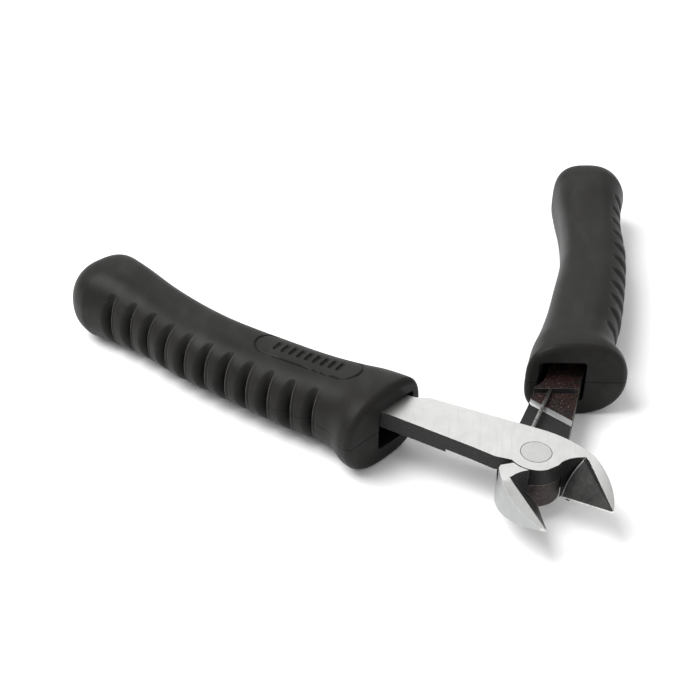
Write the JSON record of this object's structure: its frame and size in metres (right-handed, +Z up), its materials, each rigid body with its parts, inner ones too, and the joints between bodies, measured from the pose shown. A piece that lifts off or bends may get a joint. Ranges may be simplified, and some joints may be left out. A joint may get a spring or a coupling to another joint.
{
  "type": "diagonal cutting pliers",
  "caption": "Small spring-opened diagonal cutters with a lap joint, bevelled cutting jaws and grooved rubber grips, for snipping wires and cable ties.",
  "frame": {"origin": "middle of the open tool's footprint, on the surface that it lies on", "axes": "+Z up, the closed tool's centre line along Y with the handles towards +Y and the jaws towards -Y, X across both handles"},
  "size_m": [0.1286, 0.1024, 0.0168],
  "materials": {
    "forged_steel": "ground bright on the outer faces, black oxide on the rest",
    "rivet_steel": "ground flush with the faces",
    "spring_steel": "drawn wire",
    "grip_rubber": "matt moulded"
  },
  "bodies": {
    "lower": {"lower_half": "forged_steel", "pivot_rivet": "rivet_steel", "lower_grip": "grip_rubber", "return_spring": "spring_steel"},
    "upper": {"upper_half": "forged_steel", "upper_grip": "grip_rubber"}
  },
  "joints": [
    {"name": "pivot", "type": "hinge", "parent": "lower", "child": "upper", "pos_m": [0, -0.03479, 0.0082], "axis": [0, 0, -1], "range_deg": [0, 42.2], "stiffness_Nm_per_rad": 0.4, "springref_deg": -8.59, "deforming": ["return_spring"]}
  ]
}
